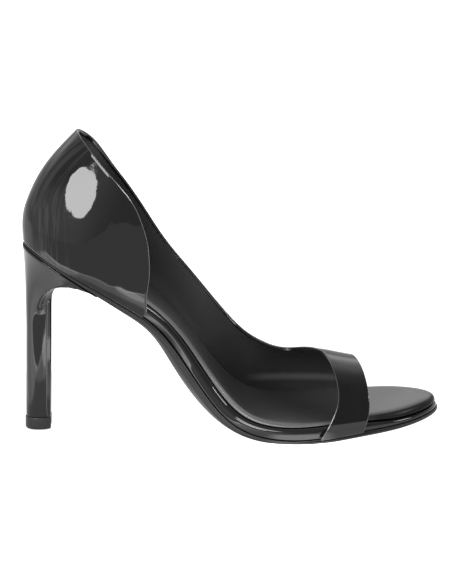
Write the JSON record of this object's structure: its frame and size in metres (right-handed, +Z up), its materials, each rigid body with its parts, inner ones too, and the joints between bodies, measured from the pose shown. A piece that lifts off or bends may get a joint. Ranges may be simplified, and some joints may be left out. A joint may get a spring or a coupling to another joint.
{
  "type": "open-toe pump",
  "caption": "Left open-toe pump with a slim high heel: a heel counter, a closed outer side and a band over the toes, cut away along the inner arch.",
  "frame": {"origin": "on the floor, at the middle of the shoe's length and width", "axes": "+X from the heel to the toe, +Y to the outer side of the foot, +Z up"},
  "size_m": [0.2134, 0.0742, 0.1554],
  "materials": {
    "upper": "black patent",
    "outsole": "smooth black, semi-gloss",
    "insole": "black patent cover",
    "sock": "smooth black, semi-gloss",
    "heel": "covered in black patent leather",
    "heel_top_piece": "satin black"
  },
  "bodies": {
    "root": {"upper": "upper", "outsole": "outsole", "insole": "insole", "sock": "sock", "heel": "heel", "heel_top_piece": "heel_top_piece"}
  },
  "joints": []
}
